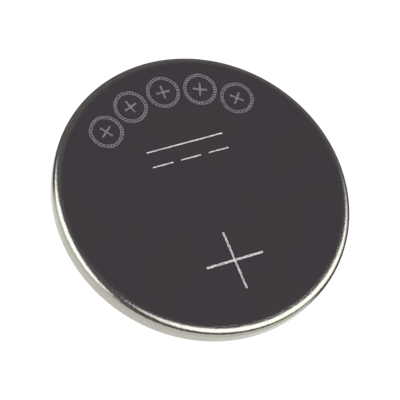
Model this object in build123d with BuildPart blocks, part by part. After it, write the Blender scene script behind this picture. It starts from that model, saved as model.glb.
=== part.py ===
"""Round lithium coin cell, 20 mm across and 2.5 mm thick.

The cell lies on its negative contact. The origin is the centre of that face and +Z runs up
through the positive face. Seven pieces nest about the Z axis, from the bottom up: a drawn
negative cap, the lithium anode pressed into it, a cup of separator fleece, the cathode pellet,
an expanded metal collector and the positive can. The can's edge is rolled in under the cap's
shoulder, and a moulded gasket fills the whole gap between can and cap.
"""

import os
from math import cos, degrees, radians, sin

from build123d import *

# Envelope
cell_diameter = 20.0
cell_height = 2.5

# Positive can
can_wall = 0.25
can_corner_radius = 0.5  # outside, where the face turns into the wall
crimp_radius = 1.2  # outside, where the wall turns in under the cap
crimp_angle = 84.0  # how far the edge is rolled in, in degrees
crimp_setback = 0.25  # from the negative contact face up to the rolled edge

# Gasket
gasket_wall = 0.35  # between the can's wall and the cap's skirt
gasket_squeeze = 0.28  # between the rolled edge and the cap's shoulder
gasket_floor = 0.35  # between the skirt's edge and the can
gasket_lip_reach = 0.32  # how far the lip shows past the rolled edge
gasket_heel_width = 0.35  # the inner leg that stands inside the skirt
gasket_heel_gap = 0.42  # from the heel's end to the inside of the shoulder
gasket_rounding = 0.1

# Negative cap
cap_wall = 0.25
crown_gap = 0.25  # open groove between the gasket's lip and the crown
crown_corner_radius = 0.4  # outside, round the contact face
neck_radius = 0.12  # outside, where the crown meets the shoulder
shoulder_radius = 0.4  # outside, where the shoulder turns into the skirt

# Stack between cap and can
anode_thickness = 0.42
anode_clearance = 0.28  # from its edge to the crown's bore
separator_thickness = 0.16
separator_clearance = 0.1  # from its rim to the crown's bore
separator_corner_radius = 0.2
separator_rim_setback = 0.6  # from the pellet's top down to the rim
pellet_clearance = 0.06  # from its edge to the separator's rim
pellet_chamfer = 0.08
collector_thickness = 0.15
collector_setback = 0.15  # from the pellet's edge in to the collector's
collector_border = 0.5
collector_opening = 0.85
collector_pitch = 1.2

# Marks sunk into the positive face: one large plus, a direct current sign and a row of
# rings with a plus in each, on an arc
mark_depth = 0.03
plus_span = 4.2
plus_stroke = 0.28
plus_margin = 2.3  # from the edge of the flat face to the tip of the plus
sign_width = 5.6
sign_stroke = 0.14
sign_spacing = 1.1
sign_offset = 3.05  # from the centre of the face
sign_dashes = 3
sign_dash_gap = 0.5
ring_count = 5
ring_diameter = 2.1  # middle of the stroke
ring_stroke = 0.3
ring_spacing = 2.6  # along the arc, from centre to centre
ring_margin = 0.8  # from the edge of the flat face to the outside of a ring
ring_plus_span = 1.05
ring_plus_stroke = 0.2

# Radii and heights worked out from the sizes above
outer_radius = cell_diameter / 2
bore_radius = outer_radius - can_wall
face_radius = outer_radius - can_corner_radius
ceiling = cell_height - can_wall
corner_height = cell_height - can_corner_radius

crimp_bore = crimp_radius - can_wall
crimp_centre = (
    outer_radius - crimp_radius,
    crimp_setback + crimp_radius * sin(radians(crimp_angle)),
)


def on_crimp(radius):
    """End of the rolled edge, at a radius from the centre of its bend."""
    return (
        crimp_centre[0] + radius * cos(radians(crimp_angle)),
        crimp_centre[1] - radius * sin(radians(crimp_angle)),
    )


edge_outside = on_crimp(crimp_radius)
edge_middle = on_crimp(crimp_radius - can_wall / 2)
edge_inside = on_crimp(crimp_bore)

skirt_radius = bore_radius - gasket_wall
skirt_bore = skirt_radius - cap_wall
skirt_top = ceiling - gasket_floor
shoulder_height = edge_inside[1] + gasket_squeeze
shoulder_inside = shoulder_height + cap_wall
lip_radius = edge_inside[0] - gasket_lip_reach
crown_radius = lip_radius - crown_gap
crown_bore = crown_radius - cap_wall
heel_radius = skirt_bore - gasket_heel_width
heel_height = shoulder_inside + gasket_heel_gap

anode_radius = crown_bore - anode_clearance
anode_top = cap_wall + anode_thickness
separator_radius = crown_bore - separator_clearance
separator_bore = separator_radius - separator_thickness
separator_top = anode_top + separator_thickness
pellet_radius = separator_bore - pellet_clearance
pellet_top = ceiling - collector_thickness
rim_top = pellet_top - separator_rim_setback
collector_radius = pellet_radius - collector_setback

os.makedirs("parts", exist_ok=True)


# Positive can: one drawn cup, open side down, its edge rolled in under the cap
with BuildPart() as positive_can:
    with BuildSketch(Plane.XZ):
        with BuildLine():
            Polyline((0, ceiling), (0, cell_height), (face_radius, cell_height))
            RadiusArc(
                (face_radius, cell_height), (outer_radius, corner_height), can_corner_radius
            )
            Line((outer_radius, corner_height), (outer_radius, crimp_centre[1]))
            CenterArc(crimp_centre, crimp_radius, 0, -crimp_angle)
            Line(edge_outside, edge_inside)
            CenterArc(crimp_centre, crimp_bore, 0, -crimp_angle)
            Line((bore_radius, crimp_centre[1]), (bore_radius, corner_height))
            RadiusArc(
                (face_radius, ceiling), (bore_radius, corner_height), can_corner_radius - can_wall
            )
            Line((face_radius, ceiling), (0, ceiling))
        make_face()
    revolve(axis=Axis.Z)

    # The large plus of the positive pole
    with BuildSketch(Plane.XY.offset(cell_height)):
        with Locations((0, plus_margin + plus_span / 2 - face_radius)):
            SlotOverall(plus_span, plus_stroke)
            SlotOverall(plus_span, plus_stroke, rotation=90)
    extrude(amount=-mark_depth, mode=Mode.SUBTRACT)

    # The direct current sign: a full line over a dashed one
    dash_length = (sign_width - (sign_dashes - 1) * sign_dash_gap) / sign_dashes
    with BuildSketch(Plane.XY.offset(cell_height)):
        with Locations((0, sign_offset + sign_spacing / 2)):
            SlotOverall(sign_width, sign_stroke)
        with Locations((0, sign_offset - sign_spacing / 2)):
            with GridLocations(dash_length + sign_dash_gap, 0, sign_dashes, 1):
                SlotOverall(dash_length, sign_stroke)
    extrude(amount=-mark_depth, mode=Mode.SUBTRACT)

    # The row of rings, its middle one on the Y axis
    ring_arc_radius = face_radius - ring_margin - (ring_diameter + ring_stroke) / 2
    ring_fan = degrees(ring_spacing / ring_arc_radius) * (ring_count - 1)
    with BuildSketch(Plane.XY.offset(cell_height)):
        with PolarLocations(
            ring_arc_radius,
            ring_count,
            start_angle=90 - ring_fan / 2,
            angular_range=ring_fan,
            endpoint=True,
        ):
            Circle((ring_diameter + ring_stroke) / 2)
            Circle((ring_diameter - ring_stroke) / 2, mode=Mode.SUBTRACT)
            SlotOverall(ring_plus_span, ring_plus_stroke)
            SlotOverall(ring_plus_span, ring_plus_stroke, rotation=90)
    extrude(amount=-mark_depth, mode=Mode.SUBTRACT)

positive_can.part.label = "positive_can"
export_step(positive_can.part, "parts/positive_can.step")


# Negative cap: a crown that carries the contact face, a shoulder for the can's edge and a skirt
with BuildPart() as negative_cap:
    with BuildSketch(Plane.XZ):
        with BuildLine():
            FilletPolyline(
                (0, 0),
                (crown_radius, 0),
                (crown_radius, shoulder_height),
                (skirt_radius, shoulder_height),
                (skirt_radius, skirt_top),
                radius=(crown_corner_radius, neck_radius, shoulder_radius),
            )
            Line((skirt_radius, skirt_top), (skirt_bore, skirt_top))
            FilletPolyline(
                (skirt_bore, skirt_top),
                (skirt_bore, shoulder_inside),
                (crown_bore, shoulder_inside),
                (crown_bore, cap_wall),
                (0, cap_wall),
                radius=(
                    shoulder_radius - cap_wall,
                    neck_radius + cap_wall,
                    crown_corner_radius - cap_wall,
                ),
            )
            Line((0, cap_wall), (0, 0))
        make_face()
    revolve(axis=Axis.Z)

negative_cap.part.label = "negative_cap"
export_step(negative_cap.part, "parts/negative_cap.step")


# Gasket: one moulded ring. Its wall lines the can, its lip lies under the rolled edge and its
# heel stands inside the skirt, so that the skirt's edge sits in a groove.
with BuildPart() as gasket:
    with BuildSketch(Plane.XZ):
        with BuildLine():
            Line(edge_inside, edge_middle)
            FilletPolyline(
                edge_middle,
                (lip_radius, edge_middle[1]),
                (lip_radius, shoulder_height),
                radius=gasket_rounding,
            )
            Line((lip_radius, shoulder_height), (skirt_radius - shoulder_radius, shoulder_height))
            RadiusArc(
                (skirt_radius - shoulder_radius, shoulder_height),
                (skirt_radius, shoulder_height + shoulder_radius),
                -shoulder_radius,
            )
            Polyline(
                (skirt_radius, shoulder_height + shoulder_radius),
                (skirt_radius, skirt_top),
                (skirt_bore, skirt_top),
                (skirt_bore, heel_height),
            )
            FilletPolyline(
                (skirt_bore, heel_height),
                (heel_radius, heel_height),
                (heel_radius, ceiling),
                radius=gasket_rounding,
            )
            Line((heel_radius, ceiling), (face_radius, ceiling))
            RadiusArc(
                (face_radius, ceiling), (bore_radius, corner_height), can_corner_radius - can_wall
            )
            Line((bore_radius, corner_height), (bore_radius, crimp_centre[1]))
            CenterArc(crimp_centre, crimp_bore, 0, -crimp_angle)
        make_face()
    revolve(axis=Axis.Z)

gasket.part.label = "gasket"
export_step(gasket.part, "parts/gasket.step")


# Anode: a disc of lithium foil pressed on to the inside of the cap
with BuildPart() as anode_disc:
    with BuildSketch(Plane.XY.offset(cap_wall)):
        Circle(anode_radius)
    extrude(amount=anode_thickness)

anode_disc.part.label = "anode_disc"
export_step(anode_disc.part, "parts/anode_disc.step")


# Separator: a shallow cup of fleece that holds the pellet and keeps it off the cap
with BuildPart() as separator:
    with BuildSketch(Plane.XZ):
        with BuildLine():
            FilletPolyline(
                (0, anode_top),
                (separator_radius, anode_top),
                (separator_radius, rim_top),
                radius=separator_corner_radius,
            )
            Polyline(
                (separator_radius, rim_top),
                (separator_bore, rim_top),
                (separator_bore, separator_top + pellet_chamfer),
                (separator_bore - pellet_chamfer, separator_top),
                (0, separator_top),
                (0, anode_top),
            )
        make_face()
    revolve(axis=Axis.Z)

separator.part.label = "separator"
export_step(separator.part, "parts/separator.step")


# Cathode: a pressed pellet with its edges broken
with BuildPart() as cathode_pellet:
    with BuildSketch(Plane.XY.offset(separator_top)):
        Circle(pellet_radius)
    extrude(amount=pellet_top - separator_top)
    chamfer(cathode_pellet.edges().filter_by(GeomType.CIRCLE), pellet_chamfer)

cathode_pellet.part.label = "cathode_pellet"
export_step(cathode_pellet.part, "parts/cathode_pellet.step")


# Collector: a disc of expanded steel between the pellet and the can, with a plain border
with BuildPart() as cathode_collector:
    with BuildSketch(Plane.XY.offset(pellet_top)):
        Circle(collector_radius)
        mesh_radius = collector_radius - collector_border
        columns = 2 * int(mesh_radius / collector_pitch) + 1
        with Locations(Location((0, 0, 0), (0, 0, 45))):
            with GridLocations(collector_pitch, collector_pitch, columns, columns) as grid:
                inside_border = [
                    place
                    for place in grid.local_locations
                    if place.position.length + collector_opening / 2**0.5 < mesh_radius
                ]
            with Locations(inside_border):
                Rectangle(collector_opening, collector_opening, mode=Mode.SUBTRACT)
    extrude(amount=collector_thickness)

cathode_collector.part.label = "cathode_collector"
export_step(cathode_collector.part, "parts/cathode_collector.step")
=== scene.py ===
from math import cos, pi, radians, sin, tan, tau

import bmesh
import bpy
from mathutils import Matrix, Vector, geometry


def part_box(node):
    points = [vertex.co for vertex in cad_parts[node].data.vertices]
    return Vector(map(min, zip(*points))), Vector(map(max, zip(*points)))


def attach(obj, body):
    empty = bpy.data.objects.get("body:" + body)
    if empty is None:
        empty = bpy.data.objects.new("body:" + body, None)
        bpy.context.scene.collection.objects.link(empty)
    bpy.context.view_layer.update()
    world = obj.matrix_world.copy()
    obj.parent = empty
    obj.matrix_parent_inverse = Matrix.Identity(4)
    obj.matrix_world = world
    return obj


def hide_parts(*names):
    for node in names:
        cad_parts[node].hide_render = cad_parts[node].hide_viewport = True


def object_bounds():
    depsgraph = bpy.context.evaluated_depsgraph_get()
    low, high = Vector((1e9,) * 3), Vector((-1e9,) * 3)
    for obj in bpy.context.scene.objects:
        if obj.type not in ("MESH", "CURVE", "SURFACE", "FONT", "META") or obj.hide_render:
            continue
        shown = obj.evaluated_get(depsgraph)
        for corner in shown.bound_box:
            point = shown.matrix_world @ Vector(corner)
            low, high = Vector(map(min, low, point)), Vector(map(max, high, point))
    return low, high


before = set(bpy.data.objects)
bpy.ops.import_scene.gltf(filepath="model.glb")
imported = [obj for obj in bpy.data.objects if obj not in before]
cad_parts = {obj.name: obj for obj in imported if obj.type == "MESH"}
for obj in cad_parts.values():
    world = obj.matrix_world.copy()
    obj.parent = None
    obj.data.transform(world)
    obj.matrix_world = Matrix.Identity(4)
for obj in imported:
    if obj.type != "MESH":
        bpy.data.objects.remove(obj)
cadBox = [list(corner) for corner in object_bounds()]
mm = 0.001
micron = 0.000001
print("frame loaded:", len(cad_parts), "pieces")


class Link:
    # one socket of a node tree, so that sums on it can be written out
    def __init__(self, tree, socket=None):
        self.tree = tree
        self.socket = socket

    # a node's settings go in first, then the values or links of its sockets
    def add(self, kind, settings=None, inputs=None, output=0):
        node = self.tree.nodes.new(kind)
        for name, value in (settings or {}).items():
            setattr(node, name, value)
        for name, value in (inputs or {}).items():
            if isinstance(value, Link):
                self.tree.links.new(value.socket, node.inputs[name])
            else:
                node.inputs[name].default_value = value
        return Link(self.tree, node.outputs[output])

    def math(self, operation, first, second=0.0):
        return self.add("ShaderNodeMath", {"operation": operation}, {0: first, 1: second})

    def __add__(self, other):
        return self.math("ADD", self, other)

    __radd__ = __add__

    def __sub__(self, other):
        return self.math("SUBTRACT", self, other)

    def __rsub__(self, other):
        return self.math("SUBTRACT", other, self)

    def __mul__(self, other):
        return self.math("MULTIPLY", self, other)

    __rmul__ = __mul__

    def __truediv__(self, other):
        return self.math("DIVIDE", self, other)

    def __rtruediv__(self, other):
        return self.math("DIVIDE", other, self)

    # one axis of a vector: X, Y or Z
    def axis(self, name):
        return self.add("ShaderNodeSeparateXYZ", {}, {"Vector": self}, name)

    def length(self):
        return self.add("ShaderNodeVectorMath", {"operation": "LENGTH"}, {0: self}, "Value")

    # colours mixed by a factor; a Mix node has its colour sockets at these places
    def blend(self, factor, low, high):
        inputs = {0: factor, 6: low, 7: high}
        return self.add("ShaderNodeMix", {"data_type": "RGBA"}, inputs, 2)

    # 0 below low, 1 above high and smooth between them
    def step(self, value, low, high):
        inputs = {"Value": value, "From Min": low, "From Max": high}
        return self.add("ShaderNodeMapRange", {"interpolation_type": "SMOOTHSTEP"}, inputs)

    def noise(self, place, scale, detail=3.0):
        return self.add("ShaderNodeTexNoise", {}, {"Vector": place, "Scale": scale, "Detail": detail})

    # a relief on the surface, where a height of 1 stands for a depth in microns
    def bump(self, height, depth=1.0, strength=1.0):
        inputs = {"Strength": strength, "Distance": depth * micron, "Height": height}
        return self.add("ShaderNodeBump", {}, inputs)


def arcPoints(centre, radius, startAngle, endAngle, steps):
    angles = [radians(startAngle + (endAngle - startAngle) * i / steps) for i in range(steps + 1)]
    return [(centre[0] + radius * cos(turn), centre[1] + radius * sin(turn)) for turn in angles]


poleRadius = 0.001 * mm  # a profile point nearer to the axis than this is one vertex on it
fillReach = 1e-9  # corners closer than this count as one when a face is filled
sharpAngle = radians(35)  # edges that turn more than this stay sharp


# rings of vertices for a profile of (radius, height) points turned about Z
def turnedRings(mesh, profile, segments):
    rings = []
    for radius, height in profile:
        if radius < poleRadius:
            rings.append([mesh.verts.new((0, 0, height))])
        else:
            angles = [tau * i / segments for i in range(segments)]
            corners = [(radius * cos(turn), radius * sin(turn), height) for turn in angles]
            rings.append([mesh.verts.new(corner) for corner in corners])
    return rings


def bridgeRings(mesh, rings):
    for low, high in zip(rings, rings[1:]):
        count = max(len(low), len(high))
        for i in range(count):
            j = (i + 1) % count
            corners = [low[i % len(low)], low[j % len(low)], high[j % len(high)], high[i % len(high)]]
            mesh.faces.new(list(dict.fromkeys(corners)))


# flat faces between closed outlines, with every second outline inside another left open
def fillOutlines(mesh, outlines):
    corners = [corner for outline in outlines for corner in outline]
    loops = []
    for outline in outlines:
        first = sum(len(loop) for loop in loops)
        loops.append(list(range(first, first + len(outline))))
    flat = [corner.co.xy for corner in corners]
    _, _, faces, sources, _, _ = geometry.delaunay_2d_cdt(flat, [], loops, 2, fillReach)
    for face in faces:
        mesh.faces.new([corners[sources[i][0]] for i in face])


def meshObject(name, mesh):
    bmesh.ops.recalc_face_normals(mesh, faces=mesh.faces)
    for face in mesh.faces:
        face.smooth = True
    for edge in mesh.edges:
        edge.smooth = edge.calc_face_angle(pi) < sharpAngle
    data = bpy.data.meshes.new(name)
    mesh.to_mesh(data)
    mesh.free()
    piece = bpy.data.objects.new(name, data)
    bpy.context.scene.collection.objects.link(piece)
    return piece


# Places that can, gasket and cap share, worked out as the real cell is put together
canLow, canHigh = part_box("positive_can")
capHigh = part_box("negative_cap")[1]
top = canHigh.z
outerRadius = canHigh.x

can = {
    "wall": 0.25 * mm,
    "cornerRadius": 0.5 * mm,
    "easing": 0.35 * mm,
    "easingTilt": 6,
    "crimpRadius": 1.2 * mm,
    "crimpAngle": 84,
    "edgeRounding": 0.03 * mm,
    "segments": 480,
    "easingSteps": 8,
    "cornerSteps": 24,
    "crimpSteps": 28,
}
crimpCentre = (
    outerRadius - can["crimpRadius"],
    canLow.z + can["crimpRadius"] * sin(radians(can["crimpAngle"])),
)
crimpBore = can["crimpRadius"] - can["wall"]


# a point on the line of the rolled edge, at a radius from the centre of its bend
def onEdge(radius):
    angle = radians(can["crimpAngle"])
    return (crimpCentre[0] + radius * cos(angle), crimpCentre[1] - radius * sin(angle))


edgeInside = onEdge(crimpBore)
faceRadius = outerRadius - can["cornerRadius"]
cornerCentre = (faceRadius, top - can["cornerRadius"])
ceiling = top - can["wall"]

gasket = {
    "squeeze": 0.28 * mm,
    "lipReach": 0.32 * mm,
    "heelWidth": 0.35 * mm,
    "heelGap": 0.42 * mm,
    "rounding": 0.1 * mm,
    "segments": 240,
    "arcSteps": 8,
}
cap = {
    "wall": 0.25 * mm,
    "crownGap": 0.25 * mm,
    "crownRadius": 0.4 * mm,
    "neckRadius": 0.12 * mm,
    "shoulderRadius": 0.4 * mm,
    "crownLand": 0.02 * mm,
    "segments": 360,
    "arcSteps": 12,
}
shoulderHeight = edgeInside[1] + gasket["squeeze"]
shoulderInside = shoulderHeight + cap["wall"]
lipRadius = edgeInside[0] - gasket["lipReach"]
crownOutside = lipRadius - cap["crownGap"]
crownInside = crownOutside - cap["wall"]
skirtOutside = capHigh.x
skirtInside = skirtOutside - cap["wall"]

# Marks on the positive face
marks = {
    "depth": 0.03 * mm,
    "plusSpan": 4.2 * mm,
    "plusStroke": 0.28 * mm,
    "plusMargin": 2.3 * mm,
    "signWidth": 5.6 * mm,
    "signStroke": 0.14 * mm,
    "signSpacing": 1.1 * mm,
    "signOffset": 3.05 * mm,
    "signDashes": 3,
    "signDashGap": 0.5 * mm,
    "ringCount": 5,
    "ringDiameter": 2.1 * mm,
    "ringStroke": 0.3 * mm,
    "ringSpacing": 2.6 * mm,
    "ringMargin": 0.8 * mm,
    "ringPlusSpan": 1.05 * mm,
    "ringPlusStroke": 0.2 * mm,
    "endSteps": 12,
    "circleSteps": 96,
}


# centres and turns of the rings on their arc
def ringPlaces():
    arcRadius = faceRadius - marks["ringMargin"] - (marks["ringDiameter"] + marks["ringStroke"]) / 2
    pitch = marks["ringSpacing"] / arcRadius
    turns = [pitch * (i - (marks["ringCount"] - 1) / 2) for i in range(marks["ringCount"])]
    return [(Vector((-arcRadius * sin(turn), arcRadius * cos(turn))), turn) for turn in turns]


# the lines of the direct current sign: its centre and length, one for each stroke
def signLines():
    count, gap = marks["signDashes"], marks["signDashGap"]
    dash = (marks["signWidth"] - (count - 1) * gap) / count
    high = marks["signOffset"] + marks["signSpacing"] / 2
    low = marks["signOffset"] - marks["signSpacing"] / 2
    lines = [(Vector((0, high)), marks["signWidth"])]
    for i in range(count):
        lines.append((Vector(((i - (count - 1) / 2) * (dash + gap), low)), dash))
    return lines


def plusCentre():
    return Vector((0, marks["plusMargin"] + marks["plusSpan"] / 2 - faceRadius))


# outline of a stroke with round ends, or of several crossing at the centre as a plus does
def strokeOutline(centre, span, stroke, turn, arms):
    half = stroke / 2
    points = []
    for arm in range(arms):
        spin = Matrix.Rotation(turn + tau * arm / arms, 2)
        if arms > 2:
            points.append(centre + spin @ Vector((half, -half)))
        for i in range(marks["endSteps"] + 1):
            angle = pi * i / marks["endSteps"] - pi / 2
            rim = Vector((span / 2 - half + half * cos(angle), half * sin(angle)))
            points.append(centre + spin @ rim)
    return points


def circleOutline(centre, radius):
    steps = marks["circleSteps"]
    return [
        centre + Vector((radius * cos(tau * i / steps), radius * sin(tau * i / steps)))
        for i in range(steps)
    ]


# every outline of the sunken marks, with the name of the finish on its floor
def markOutlines():
    bright = [strokeOutline(plusCentre(), marks["plusSpan"], marks["plusStroke"], 0, 4)]
    for centre, length in signLines():
        bright.append(strokeOutline(centre, length, marks["signStroke"], 0, 2))
    dim = []
    for centre, turn in ringPlaces():
        dim.append(circleOutline(centre, (marks["ringDiameter"] + marks["ringStroke"]) / 2))
        dim.append(circleOutline(centre, (marks["ringDiameter"] - marks["ringStroke"]) / 2))
        dim.append(strokeOutline(centre, marks["ringPlusSpan"], marks["ringPlusStroke"], turn, 4))
    return {"bright": bright, "dim": dim}


# from the flat face into the outer corner, which begins with a gentle roll
def easedCorner():
    tilt = radians(can["easingTilt"])
    radius = can["cornerRadius"]
    drop = can["easing"] * tan(tilt) / 2
    centre = (cornerCentre[0], top - drop - radius * cos(tilt))
    end = centre[0] + radius * sin(tilt)
    profile = []
    for i in range(can["easingSteps"]):
        along = i / can["easingSteps"]
        profile.append((end - can["easing"] * (1 - along), top - drop * along**2))
    return profile + arcPoints(centre, radius, 90 - can["easingTilt"], 0, can["cornerSteps"])


# one closed shell, its sheared edge a little rounded, with the marks sunk into the face
def makeCan():
    mesh = bmesh.new()
    rounding = can["edgeRounding"]
    sweep = can["crimpAngle"]
    inner = can["cornerRadius"] - can["wall"]
    # how far round the bend the rounding of each lip of the edge begins
    outsideEnd = sweep - rounding / can["crimpRadius"] * 180 / pi
    insideEnd = sweep - rounding / crimpBore * 180 / pi
    profile = easedCorner()
    profile += arcPoints(crimpCentre, can["crimpRadius"], 0, -outsideEnd, can["crimpSteps"])
    profile += [onEdge(can["crimpRadius"] - rounding), onEdge(crimpBore + rounding)]
    profile += arcPoints(crimpCentre, crimpBore, -insideEnd, 0, can["crimpSteps"] // 2)
    profile += arcPoints(cornerCentre, inner, 0, 90, can["cornerSteps"] // 3)
    profile.append((0, ceiling))
    rings = turnedRings(mesh, profile, can["segments"])
    bridgeRings(mesh, rings)
    floors = {}
    faceOutlines = [rings[0]]
    for finish, outlines in markOutlines().items():
        lowOutlines = []
        for outline in outlines:
            high = [mesh.verts.new((point.x, point.y, top)) for point in outline]
            low = [mesh.verts.new((point.x, point.y, top - marks["depth"])) for point in outline]
            bridgeRings(mesh, [high, low])
            faceOutlines.append(high)
            lowOutlines.append(low)
        before = set(mesh.faces)
        fillOutlines(mesh, lowOutlines)
        floors[finish] = [face for face in mesh.faces if face not in before]
    for slot, faces in enumerate(floors.values(), start=1):
        for face in faces:
            face.material_index = slot
    fillOutlines(mesh, faceOutlines)
    return meshObject("can_shell", mesh)


def makeCap():
    mesh = bmesh.new()
    steps = cap["arcSteps"]
    inner = cap["shoulderRadius"] - cap["wall"]
    neck = cap["neckRadius"]
    crown = cap["crownRadius"]
    # one more ring just inside the corner keeps the flat of the crown evenly shaded
    profile = [(0, 0), (crownOutside - crown - cap["crownLand"], 0)]
    profile += arcPoints((crownOutside - crown, crown), crown, -90, 0, steps)
    profile += arcPoints((crownOutside + neck, shoulderHeight - neck), neck, 180, 90, steps)
    shoulder = (skirtOutside - cap["shoulderRadius"], shoulderHeight + cap["shoulderRadius"])
    profile += arcPoints(shoulder, cap["shoulderRadius"], -90, 0, steps)
    profile += [(skirtOutside, capHigh.z), (skirtInside, capHigh.z)]
    profile += arcPoints(shoulder, inner, 0, -90, steps)
    neck += cap["wall"]
    profile += arcPoints((crownInside + neck, shoulderInside - neck), neck, 90, 180, steps)
    crown -= cap["wall"]
    profile += arcPoints((crownInside - crown, cap["wall"] + crown), crown, 0, -90, steps)
    profile.append((0, cap["wall"]))
    bridgeRings(mesh, turnedRings(mesh, profile, cap["segments"]))
    return meshObject("cap_shell", mesh)


def makeGasket():
    mesh = bmesh.new()
    soft, steps = gasket["rounding"], gasket["arcSteps"]
    edgeMiddle = onEdge(can["crimpRadius"] - can["wall"] / 2)
    shoulder = (skirtOutside - cap["shoulderRadius"], shoulderHeight + cap["shoulderRadius"])
    heelRadius = skirtInside - gasket["heelWidth"]
    heelHeight = shoulderInside + gasket["heelGap"]
    profile = [edgeInside, edgeMiddle]
    profile += arcPoints((lipRadius + soft, edgeMiddle[1] + soft), soft, -90, -180, steps)
    profile.append((lipRadius, shoulderHeight))
    profile += arcPoints(shoulder, cap["shoulderRadius"], -90, 0, cap["arcSteps"])
    profile += [(skirtOutside, capHigh.z), (skirtInside, capHigh.z), (skirtInside, heelHeight)]
    profile += arcPoints((heelRadius + soft, heelHeight + soft), soft, -90, -180, steps)
    profile.append((heelRadius, ceiling))
    profile += arcPoints(cornerCentre, can["cornerRadius"] - can["wall"], 90, 0, steps)
    # the last point of the bend is where the profile began
    profile += arcPoints(crimpCentre, crimpBore, 0, -can["crimpAngle"], can["crimpSteps"] // 2)[:-1]
    rings = turnedRings(mesh, profile, gasket["segments"])
    bridgeRings(mesh, rings + rings[:1])
    return meshObject("sealing_ring", mesh)


canShell = makeCan()
capShell = makeCap()
sealingRing = makeGasket()
print("shells made")


# Laser strokes: rows of small overlapping loops along the middle of each mark
laser = {
    "plus": {"loop": 0.18 * mm, "line": 0.06 * mm, "spacing": 0.125 * mm, "seed": 3},
    "plusAcross": {"loop": 0.175 * mm, "line": 0.047 * mm, "spacing": 0.135 * mm, "seed": 4},
    "sign": {"loop": 0.11 * mm, "line": 0.05 * mm, "spacing": 0.08 * mm, "seed": 5},
    "ring": {"loop": 0.25 * mm, "line": 0.036 * mm, "spacing": 0.2 * mm, "seed": 8},
    "ringPlus": {"loop": 0.15 * mm, "line": 0.036 * mm, "spacing": 0.13 * mm, "seed": 13},
    "height": 0.024 * mm,
    "wobble": 0.12,
    "loopSteps": 14,
    "lineSides": 4,
}


def laserTree():
    tree = bpy.data.node_groups.new("laserLoops", "GeometryNodeTree")
    sockets = tree.interface
    sockets.new_socket("Strokes", in_out="INPUT", socket_type="NodeSocketGeometry")
    for name in ("Loop", "Line", "Spacing", "Height", "Wobble"):
        sockets.new_socket(name, in_out="INPUT", socket_type="NodeSocketFloat")
    sockets.new_socket("Seed", in_out="INPUT", socket_type="NodeSocketInt")
    sockets.new_socket("Finish", in_out="INPUT", socket_type="NodeSocketMaterial")
    sockets.new_socket("Loops", in_out="OUTPUT", socket_type="NodeSocketGeometry")
    start = tree.nodes.new("NodeGroupInput")
    given = {socket.name: Link(tree, socket) for socket in start.outputs if socket.name}
    nodes = Link(tree)
    points = nodes.add(
        "GeometryNodeResampleCurve", {"mode": "LENGTH"},
        {"Curve": given["Strokes"], "Length": given["Spacing"]},
    )
    ring = nodes.add(
        "GeometryNodeCurvePrimitiveCircle", {},
        {"Resolution": laser["loopSteps"], "Radius": (given["Loop"] - given["Line"]) * 0.5},
    )
    section = nodes.add(
        "GeometryNodeCurvePrimitiveCircle", {},
        {"Resolution": laser["lineSides"], "Radius": given["Line"] * 0.5},
    )
    loop = nodes.add("GeometryNodeCurveToMesh", {}, {"Curve": ring, "Profile Curve": section})
    tall = given["Height"] * 2.0 / given["Line"]
    flat = nodes.add("ShaderNodeCombineXYZ", {}, {"X": 1.0, "Y": 1.0, "Z": tall})
    loop = nodes.add("GeometryNodeTransform", {}, {"Geometry": loop, "Scale": flat})
    size = nodes.add(
        "FunctionNodeRandomValue", {"data_type": "FLOAT"},
        {2: 1.0 - given["Wobble"], 3: 1.0, "Seed": given["Seed"]}, 1,
    )
    loops = nodes.add(
        "GeometryNodeInstanceOnPoints", {}, {"Points": points, "Instance": loop, "Scale": size}
    )
    shift = given["Wobble"] * given["Loop"] * 0.5
    low = nodes.add("ShaderNodeCombineXYZ", {}, {"X": shift * -1.0, "Y": shift * -1.0})
    high = nodes.add("ShaderNodeCombineXYZ", {}, {"X": shift, "Y": shift})
    jitter = nodes.add(
        "FunctionNodeRandomValue", {"data_type": "FLOAT_VECTOR"},
        {0: low, 1: high, "Seed": given["Seed"] + 1.0},
    )
    loops = nodes.add("GeometryNodeSetPosition", {}, {"Geometry": loops, "Offset": jitter})
    loops = nodes.add("GeometryNodeRealizeInstances", {}, {"Geometry": loops})
    loops = nodes.add("GeometryNodeSetShadeSmooth", {}, {"Geometry": loops})
    loops = nodes.add("GeometryNodeSetMaterial", {}, {"Geometry": loops, "Material": given["Finish"]})
    end = tree.nodes.new("NodeGroupOutput")
    tree.links.new(loops.socket, end.inputs["Loops"])
    return tree


# middle lines of the strokes, each a list of points and whether it closes on itself
def straight(centre, length, turn):
    along = Matrix.Rotation(turn, 2) @ Vector((length / 2, 0))
    return ([centre - along, centre + along], False)


def crossed(centre, length, turn):
    return [straight(centre, length, turn), straight(centre, length, turn + pi / 2)]


def strokePaths():
    rings, pluses = [], []
    for centre, turn in ringPlaces():
        rings.append((circleOutline(centre, marks["ringDiameter"] / 2), True))
        pluses += crossed(centre, marks["ringPlusSpan"] - marks["ringPlusStroke"], turn)
    sign = [straight(centre, length - marks["signStroke"], 0) for centre, length in signLines()]
    plus, plusAcross = crossed(plusCentre(), marks["plusSpan"] - marks["plusStroke"], 0)
    return {
        "plus": [plus],
        "plusAcross": [plusAcross],
        "sign": sign,
        "ring": rings,
        "ringPlus": pluses,
    }


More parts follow.
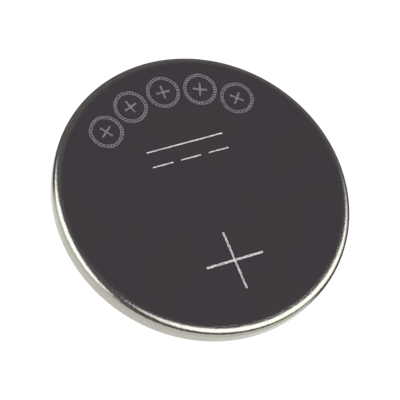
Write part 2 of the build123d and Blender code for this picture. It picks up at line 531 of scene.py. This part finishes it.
def makeStrokes(name, paths, finish, tree):
    curve = bpy.data.curves.new(name, "CURVE")
    curve.dimensions = "3D"
    for points, closed in paths:
        spline = curve.splines.new("POLY")
        spline.points.add(len(points) - 1)
        for place, point in zip(spline.points, points):
            place.co = (point.x, point.y, top - marks["depth"], 1)
        spline.use_cyclic_u = closed
    source = bpy.data.objects.new(name, curve)
    bpy.context.scene.collection.objects.link(source)
    modifier = source.modifiers.new("loops", "NODES")
    modifier.node_group = tree
    sizes = laser[name]
    values = {
        "Loop": sizes["loop"],
        "Line": sizes["line"],
        "Spacing": sizes["spacing"],
        "Seed": sizes["seed"],
        "Height": laser["height"],
        "Wobble": laser["wobble"],
        "Finish": finish,
    }
    for socket in tree.interface.items_tree:
        if socket.name in values:
            modifier[socket.identifier] = values[socket.name]
    shaped = source.evaluated_get(bpy.context.evaluated_depsgraph_get())
    mesh = bpy.data.meshes.new_from_object(shaped)
    bpy.data.objects.remove(source)
    return mesh


# Finishes: scales are cycles a metre, heights and depths are microns


def newMaterial(name):
    material = bpy.data.materials.new(name)
    material.use_nodes = True
    material.node_tree.nodes.clear()
    nodes = Link(material.node_tree)
    place = nodes.add("ShaderNodeTexCoord", output="Object")
    return material, nodes, place


def finishMaterial(material, shader):
    output = material.node_tree.nodes.new("ShaderNodeOutputMaterial")
    material.node_tree.links.new(shader.socket, output.inputs["Surface"])
    return material


def surface(nodes, base, metallic, roughness, normal):
    return nodes.add(
        "ShaderNodeBsdfPrincipled", {},
        {"Base Color": base, "Metallic": metallic, "Roughness": roughness, "Normal": normal},
    )


# fine lines in one direction, as long thin streaks of noise
def streaks(nodes, place, look):
    turn = (0, 0, radians(look["turn"]))
    scale = (look["along"], look["across"], look["along"])
    turned = nodes.add("ShaderNodeMapping", {}, {"Vector": place, "Rotation": turn, "Scale": scale})
    return nodes.step(nodes.noise(turned, scale=1.0), *look["range"])


steelLook = {
    "warm": (0.404, 0.383, 0.335, 1),
    "cool": (0.385, 0.392, 0.323, 1),
    # the colour that the pits are darkened towards
    "pitColour": (0.12, 0.11, 0.1, 1),
    "roughness": 0.07,
    "rimInside": 8.7 * mm,
    "rimOutside": 9.5 * mm,
    "arcHeight": 10,
    "arcsAround": (16, 16, 0),
    "arcsAcross": 4500,
    "dingHeight": 9,
    "dingScale": 8000.0,
    "tintScale": 300.0,
    "tintRange": (0.33, 0.67),
    "cloudScale": 420.0,
    "cloudHeight": 1.2,
    "cloudRoughness": 0.05,
    "pitScale": 1400.0,
    "pitRadii": (0.05, 0.09),
    "pitDarkening": 0.6,
    "pitDepth": 2.5,
    "grain": {"turn": 35, "along": 400, "across": 9000, "range": (0.35, 0.75)},
    "grainHeight": 0.24,
    "scratches": (
        {"turn": 20, "along": 110, "across": 7000, "range": (0.71, 0.76)},
        {"turn": 100, "along": 90, "across": 6000, "range": (0.72, 0.77)},
        {"turn": 155, "along": 140, "across": 8000, "range": (0.72, 0.77)},
    ),
    "scratchDepth": 0.5,
    "scratchRoughness": 0.05,
}


# bright rolled steel: clouds, grain, scratches and pits everywhere, arcs and dings near the rim
def steelMaterial():
    material, nodes, place = newMaterial("rolled_steel")
    look = steelLook
    flat = nodes.add("ShaderNodeCombineXYZ", {}, {"X": place.axis("X"), "Y": place.axis("Y")})
    radius = flat.length()
    rim = nodes.step(radius, look["rimInside"], look["rimOutside"])
    cloud = nodes.noise(place, look["cloudScale"])
    tint = nodes.noise(place, look["tintScale"], detail=1.0)
    around = nodes.add("ShaderNodeVectorMath", {"operation": "NORMALIZE"}, {0: flat})
    across = nodes.add("ShaderNodeCombineXYZ", {}, {"Z": radius * look["arcsAcross"]})
    turned = nodes.add(
        "ShaderNodeVectorMath", {"operation": "MULTIPLY_ADD"},
        {0: around, 1: look["arcsAround"], 2: across},
    )
    arcs = nodes.noise(turned, scale=1.0)
    dings = nodes.noise(place, look["dingScale"], detail=2.0)
    worn = (arcs * look["arcHeight"] + dings * look["dingHeight"]) * rim
    grain = streaks(nodes, place, look["grain"])
    first, second, third = (streaks(nodes, place, scratch) for scratch in look["scratches"])
    scratches = first + second + third
    cells = nodes.add(
        "ShaderNodeTexVoronoi", {}, {"Vector": place, "Scale": look["pitScale"]}, "Distance"
    )
    pits = 1 - nodes.step(cells, *look["pitRadii"])
    base = nodes.blend(nodes.step(tint, *look["tintRange"]), look["warm"], look["cool"])
    # the pits are coloured darker
    base = nodes.blend(pits * look["pitDarkening"], base, look["pitColour"])
    rough = look["roughness"] + cloud * look["cloudRoughness"] + scratches * look["scratchRoughness"]
    height = cloud * look["cloudHeight"] - pits * look["pitDepth"] - scratches * look["scratchDepth"]
    height = height + grain * look["grainHeight"] + worn
    shader = surface(nodes, base, metallic=1.0, roughness=rough, normal=nodes.bump(height))
    return finishMaterial(material, shader)


capLook = {
    "low": (0.5, 0.49, 0.47, 1),
    "high": (0.56, 0.55, 0.54, 1),
    "roughness": 0.24,
    "grain": {"turn": 0, "along": 300, "across": 12000, "range": (0.3, 0.7)},
    "grainRoughness": 0.1,
    "cloudScale": 500.0,
    "depth": 3,
}


# the cap's satin steel
def capMaterial():
    material, nodes, place = newMaterial("satin_steel")
    grain = streaks(nodes, place, capLook["grain"])
    cloud = nodes.noise(place, capLook["cloudScale"])
    base = nodes.blend(cloud, capLook["low"], capLook["high"])
    rough = capLook["roughness"] + grain * capLook["grainRoughness"]
    bump = nodes.bump(grain + cloud, capLook["depth"])
    shader = surface(nodes, base, metallic=1.0, roughness=rough, normal=bump)
    return finishMaterial(material, shader)


markLook = {
    "etched_floor": {"colour": (0.02, 0.018, 0.019, 1), "roughness": 0.5},
    "etched_floor_dim": {"colour": (0.02, 0.017, 0.019, 1), "roughness": 0.5},
    "laser_line": {"colour": (0.96, 0.9, 0.88, 1), "roughness": 0.7},
    "laser_line_dim": {"colour": (0.5, 0.45, 0.46, 1), "roughness": 0.6},
}
speckle = {"scale": 9000.0, "range": (0.35, 0.6), "shade": 0.6, "depth": 8, "strength": 0.6}


# rough burnt metal inside the marks and the pale lines that the laser leaves
def markMaterial(name):
    material, nodes, place = newMaterial(name)
    look = markLook[name]
    spots = nodes.noise(place, speckle["scale"], detail=2.0)
    dark = tuple(part * speckle["shade"] for part in look["colour"][:3]) + (1,)
    base = nodes.blend(nodes.step(spots, *speckle["range"]), dark, look["colour"])
    bump = nodes.bump(spots, speckle["depth"], speckle["strength"])
    shader = surface(nodes, base, metallic=0.0, roughness=look["roughness"], normal=bump)
    return finishMaterial(material, shader)


dullLook = {
    "moulded_plastic": {
        "low": (0.55, 0.55, 0.52, 1),
        "high": (0.63, 0.63, 0.6, 1),
        "scale": 900.0,
        "roughness": 0.4,
        "metallic": 0.0,
        "depth": 4,
    },
    "lithium_foil": {
        "low": (0.5, 0.5, 0.53, 1),
        "high": (0.62, 0.62, 0.64, 1),
        "scale": 600.0,
        "roughness": 0.45,
        "metallic": 1.0,
        "depth": 10,
    },
    "fleece": {
        "low": (0.7, 0.7, 0.67, 1),
        "high": (0.85, 0.85, 0.83, 1),
        "scale": 4000.0,
        "roughness": 0.85,
        "metallic": 0.0,
        "depth": 20,
    },
    "pressed_oxide": {
        "low": (0.012, 0.012, 0.013, 1),
        "high": (0.04, 0.038, 0.04, 1),
        "scale": 5000.0,
        "roughness": 0.8,
        "metallic": 0.0,
        "depth": 10,
    },
    "mesh_steel": {
        "low": (0.5, 0.49, 0.48, 1),
        "high": (0.6, 0.59, 0.58, 1),
        "scale": 1500.0,
        "roughness": 0.3,
        "metallic": 1.0,
        "depth": 3,
    },
}
dullNoise = 0.1  # how much the noise adds to the roughness of a dull finish


# plastic, foil, fleece, oxide and mesh, all a little uneven
def dullMaterial(name):
    material, nodes, place = newMaterial(name)
    look = dullLook[name]
    noise = nodes.noise(place, look["scale"], detail=4.0)
    base = nodes.blend(noise, look["low"], look["high"])
    rough = look["roughness"] + noise * dullNoise
    bump = nodes.bump(noise, look["depth"])
    return finishMaterial(material, surface(nodes, base, look["metallic"], rough, bump))


# the can's slots, in the order that its faces count them
steel = steelMaterial()
floorBright = markMaterial("etched_floor")
floorDim = markMaterial("etched_floor_dim")
lineBright = markMaterial("laser_line")
lineDim = markMaterial("laser_line_dim")
canFinishes = [steel, floorBright, floorDim, lineBright, lineDim]

tree = laserTree()
shell = bmesh.new()
shell.from_mesh(canShell.data)
for name, paths in strokePaths().items():
    finish = lineDim if name in ("ring", "ringPlus") else lineBright
    loops = makeStrokes(name, paths, finish, tree)
    slot = canFinishes.index(finish)
    for polygon in loops.polygons:
        polygon.material_index = slot
    shell.from_mesh(loops)
shell.to_mesh(canShell.data)
shell.free()
for material in canFinishes:
    canShell.data.materials.append(material)
capShell.data.materials.append(capMaterial())
sealingRing.data.materials.append(dullMaterial("moulded_plastic"))
# the pieces inside keep their solids and only get a finish
inside = {
    "anode_disc": dullMaterial("lithium_foil"),
    "separator": dullMaterial("fleece"),
    "cathode_pellet": dullMaterial("pressed_oxide"),
    "cathode_collector": dullMaterial("mesh_steel"),
}
for name, material in inside.items():
    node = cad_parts[name]
    node.data.materials.clear()
    node.data.materials.append(material)
print("finishes made")

for piece, node, slot in (
    (canShell, "positive_can", "can_steel"),
    (capShell, "negative_cap", "cap_steel"),
    (sealingRing, "gasket", "gasket_plastic"),
):
    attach(piece, "root")
    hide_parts(node)

# Studio: a white glowing table, its glow painted light brightest round the cell, with a dark card on
# it for painted shade that only the steel shows, a dim room with a darker patch above, and two
# softboxes
studio = {
    "floorSize": 2.0,
    # the table's glow, brighter round the cell than far off: painted light
    "floorGlow": 1.04,
    "floorGlowFar": 0.75,
    "glowRadii": (22 * mm, 150 * mm),
    "glowOffset": 2.4 * mm,
    "glowAzimuth": 30,
    "floorColour": (0.06, 0.06, 0.06, 1),
    "floorGloss": 0.1,
    "matt": 0.9,
    "roomHigh": (0.19, 0.185, 0.225, 1),
    "roomLow": (0.225, 0.195, 0.19, 1),
    "roomHeights": (0.1, 0.8),
    "patchGlow": (0.126, 0.108, 0.148, 1),
    "patchTilt": 28.8,
    "patchAzimuth": 40.2,
    "patchAngles": (12, 20),
    "softboxes": {
        "right": {"azimuth": -46, "tilt": 42, "roll": -33, "size": (2.02, 0.88), "glow": 2.8},
        "left": {"azimuth": 166, "tilt": 75, "roll": -35, "size": (1.09, 0.95), "glow": 3.0},
    },
    # painted shade: a dark card by the cell that only the steel reflects
    "shadeCard": {
        "azimuth": 50,
        "height": 0.05 * mm,
        "size": 200 * mm,
        "behind": (-5.5 * mm, -2.5 * mm),
        "inside": (10.3 * mm, 12 * mm),
        "outside": (60 * mm, 90 * mm),
        "colour": (0.1, 0.1, 0.1, 1),
    },
    "boxDistance": 0.6,
    "boxColour": (0.95, 0.93, 1.0),
    "boxFade": 0.65,
}


def direction(azimuth, tilt):
    flat = sin(radians(tilt))
    return Vector((flat * cos(radians(azimuth)), flat * sin(radians(azimuth)), cos(radians(tilt))))


# at a distance from a target and looking back at it along its own -Z
def aimed(azimuth, tilt, distance, target):
    back = direction(azimuth, tilt)
    turned = back.to_track_quat("Z", "Y").to_matrix().to_4x4()
    return Matrix.Translation(target + back * distance) @ turned


def stagePanel(name, size, placed, material):
    data = bpy.data.meshes.new(name)
    x, y = size[0] / 2, size[1] / 2
    data.from_pydata([(-x, -y, 0), (x, -y, 0), (x, y, 0), (-x, y, 0)], [], [(0, 1, 2, 3)])
    data.materials.append(material)
    panel = bpy.data.objects.new(name, data)
    panel.matrix_world = placed
    bpy.context.scene.collection.objects.link(panel)
    return panel


# the table glows, brightest round the cell and dimmer further out: a painted pool of light, which also
# washes out the cell's shadow on it
def makeFloor():
    material, nodes, place = newMaterial("glowing_table")
    near, far = ((glow, glow, glow, 1) for glow in (studio["floorGlow"], studio["floorGlowFar"]))
    shader = nodes.add(
        "ShaderNodeBsdfPrincipled", {},
        {
            "Base Color": studio["floorColour"],
            "Roughness": studio["matt"],
            "Specular IOR Level": studio["floorGloss"],
            "Emission Color": nodes.blend(nodes.step(place.length(), *studio["glowRadii"]), near, far),
            "Emission Strength": 1.0,
        },
    )
    offset = direction(studio["glowAzimuth"], 90) * studio["glowOffset"]
    placed = Matrix.Translation(offset + Vector((0, 0, cadBox[0][2])))
    size = (studio["floorSize"], studio["floorSize"])
    stagePanel("table_top", size, placed, finishMaterial(material, shader))


# a soft-edged dark card that lies on the table behind the cell and shows only in the steel: painted
# shade, which the rim reflects though the table shows none
def makeShadeCard():
    card = studio["shadeCard"]
    material, nodes, place = newMaterial("painted_shade_card")
    away = place.length()
    cover = nodes.step(place.axis("X"), *card["behind"]) * nodes.step(away, *card["inside"])
    cover = cover * (1 - nodes.step(away, *card["outside"]))
    shader = nodes.add(
        "ShaderNodeBsdfPrincipled", {},
        {"Base Color": card["colour"], "Roughness": studio["matt"], "Alpha": cover},
    )
    placed = Matrix.Translation((0, 0, cadBox[0][2] + card["height"]))
    placed = placed @ Matrix.Rotation(radians(card["azimuth"]), 4, "Z")
    size = (card["size"], card["size"])
    panel = stagePanel(material.name, size, placed, finishMaterial(material, shader))
    panel.visible_camera = False


# a panel that glows evenly and fades towards its edges
def makeSoftboxes():
    for name, box in studio["softboxes"].items():
        material, nodes, place = newMaterial(f"softbox_{name}")
        glow = 1.0
        for axis, width in zip("XY", box["size"]):
            inward = 1.0 - nodes.math("ABSOLUTE", place.axis(axis)) * 2.0 / width
            glow = nodes.step(inward, 0.0, studio["boxFade"]) * glow
        bright = tuple(part * box["glow"] for part in studio["boxColour"]) + (1,)
        shader = nodes.add(
            "ShaderNodeBsdfPrincipled", {},
            {
                "Base Color": (0, 0, 0, 1),
                "Specular IOR Level": 0.0,
                "Emission Color": nodes.blend(glow, studio["roomHigh"], bright),
                "Emission Strength": 1.0,
            },
        )
        placed = aimed(box["azimuth"], box["tilt"], studio["boxDistance"], Vector((0, 0, 0)))
        placed = placed @ Matrix.Rotation(radians(box["roll"]), 4, "Z")
        stagePanel(material.name, box["size"], placed, finishMaterial(material, shader))


def makeRoom():
    world = bpy.data.worlds.new("room")
    bpy.context.scene.world = world
    world.use_nodes = True
    world.node_tree.nodes.clear()
    nodes = Link(world.node_tree)
    ray = nodes.add("ShaderNodeTexCoord", output="Generated")
    patch = direction(studio["patchAzimuth"], studio["patchTilt"])
    towards = nodes.add(
        "ShaderNodeVectorMath", {"operation": "DOT_PRODUCT"}, {0: ray, 1: patch}, "Value"
    )
    inside, outside = (cos(radians(angle)) for angle in studio["patchAngles"])
    upward = nodes.step(ray.axis("Z"), *studio["roomHeights"])
    room = nodes.blend(upward, studio["roomLow"], studio["roomHigh"])
    colour = nodes.blend(nodes.step(towards, outside, inside), room, studio["patchGlow"])
    shader = nodes.add("ShaderNodeBackground", {}, {"Color": colour, "Strength": 1.0})
    output = world.node_tree.nodes.new("ShaderNodeOutputWorld")
    world.node_tree.links.new(shader.socket, output.inputs["Surface"])


# looks down on the face, turned so that the near edge is at the lower left
view = {
    "azimuth": -139.8,
    "tilt": 28.82,
    "distance": 118.7 * mm,
    "roll": 30.36,
    "lens": 162.5,
    "shift": (-0.0017, -0.0037),
    "clipStart": 1 * mm,
}


def makeCamera():
    data = bpy.data.cameras.new("camera")
    data.lens = view["lens"]
    data.shift_x, data.shift_y = view["shift"]
    data.clip_start = view["clipStart"]
    camera = bpy.data.objects.new("camera", data)
    middle = (Vector(cadBox[0]) + Vector(cadBox[1])) / 2
    placed = aimed(view["azimuth"], view["tilt"], view["distance"], middle)
    camera.matrix_world = placed @ Matrix.Rotation(radians(view["roll"]), 4, "Z")
    bpy.context.scene.collection.objects.link(camera)
    bpy.context.scene.camera = camera


makeFloor()
makeShadeCard()
makeRoom()
makeSoftboxes()
makeCamera()
bpy.context.scene.view_settings.view_transform = "Standard"
print("studio made")
